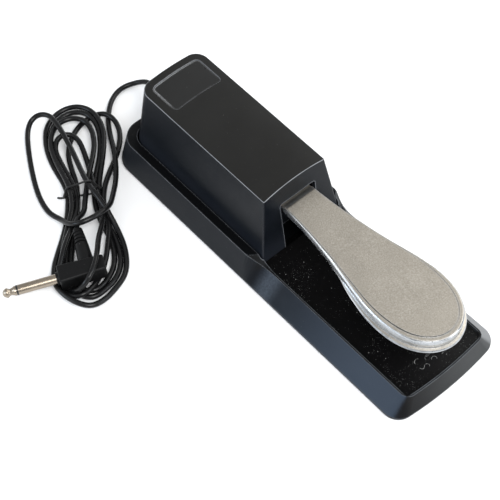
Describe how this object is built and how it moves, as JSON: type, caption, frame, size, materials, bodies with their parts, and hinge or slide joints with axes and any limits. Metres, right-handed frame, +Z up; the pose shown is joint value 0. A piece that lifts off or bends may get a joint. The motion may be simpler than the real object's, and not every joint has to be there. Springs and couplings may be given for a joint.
{
  "type": "sustain pedal",
  "caption": "Piano-style foot pedal switch: metal lever hinged in a flared plastic housing on a low base with a sunk deck, with a fixed cable tied in a hank and a right-angled plug.",
  "frame": {"origin": "floor level on the centre line of housing and pedal; the base reaches 133.7 mm ahead of it and 130 mm behind it", "axes": "+Z up, the pedal's toe towards -Y, the cable outlet towards +Y, +X to the right seen from the toe"},
  "size_m": [0.2017, 0.3233, 0.0643],
  "materials": {
    "abs_black": "fine textured, satin black",
    "sole_rubber": "matt black",
    "label_film": "plain, unprinted, dark",
    "nickel_satin": "satin nickel top, bright edges",
    "zinc_steel": "zinc plated",
    "pin_steel": "ground",
    "nylon_white": "natural nylon",
    "spring_steel": "bright drawn",
    "felt_grey": "pressed felt",
    "bumper_rubber": "matt",
    "switch_black": "phenolic black",
    "plunger_red": "smooth",
    "brass_tin": "tinned",
    "wire_pvc": "insulated",
    "cable_pvc": "smooth soft PVC",
    "plug_pvc": "moulded, satin",
    "plug_nickel": "nickel plated",
    "ring_black": "moulded",
    "tie_pvc": "smooth"
  },
  "bodies": {
    "frame": {"bottom_pad": "sole_rubber", "base_chassis": "abs_black", "tower_cover": "abs_black", "label_plate": "label_film", "pivot_bracket": "zinc_steel", "pivot_pin": "pin_steel", "pivot_clips": "zinc_steel", "bracket_screws": "zinc_steel", "cover_screws": "zinc_steel", "return_spring": "spring_steel", "upstop_felt": "felt_grey", "downstop_rubber": "bumper_rubber", "switch_body": "switch_black", "switch_terminals": "brass_tin", "switch_screws": "zinc_steel", "polarity_body": "switch_black", "polarity_terminals": "brass_tin", "cable_grommet": "cable_pvc", "cable_tail": "cable_pvc", "cable_clamp": "switch_black", "clamp_screws": "zinc_steel", "inner_wires": "wire_pvc", "cord_lead": "cable_pvc", "cord_hank": "cable_pvc", "cord_tie": "tie_pvc", "plug_body": "plug_pvc", "plug_sleeve": "plug_nickel", "plug_insulator": "ring_black", "plug_tip": "plug_nickel"},
    "pedal": {"pedal_lever": "nickel_satin", "pivot_bushes": "nylon_white", "spring_cup": "nylon_white"},
    "plunger": {"switch_plunger": "plunger_red"},
    "polarity_slider": {"polarity_knob": "switch_black"}
  },
  "joints": [
    {"name": "pedal_hinge", "type": "hinge", "parent": "frame", "child": "pedal", "pos_m": [0, 0.085, 0.04], "axis": [1, 0, 0], "range_deg": [0, 7], "stiffness_Nm_per_rad": 5.7, "springref_deg": -9.17, "deforming": ["return_spring"]},
    {"name": "switch_press", "type": "slide", "parent": "frame", "child": "plunger", "axis": [0, 0, -1], "range_m": [0, 0.0024]},
    {"name": "polarity_slide", "type": "slide", "parent": "frame", "child": "polarity_slider", "axis": [1, 0, 0], "range_m": [0, 0.0026]}
  ],
  "couplings": [
    {"joint": "switch_press", "follows": "pedal_hinge", "m_per_rad": 0.019}
  ]
}
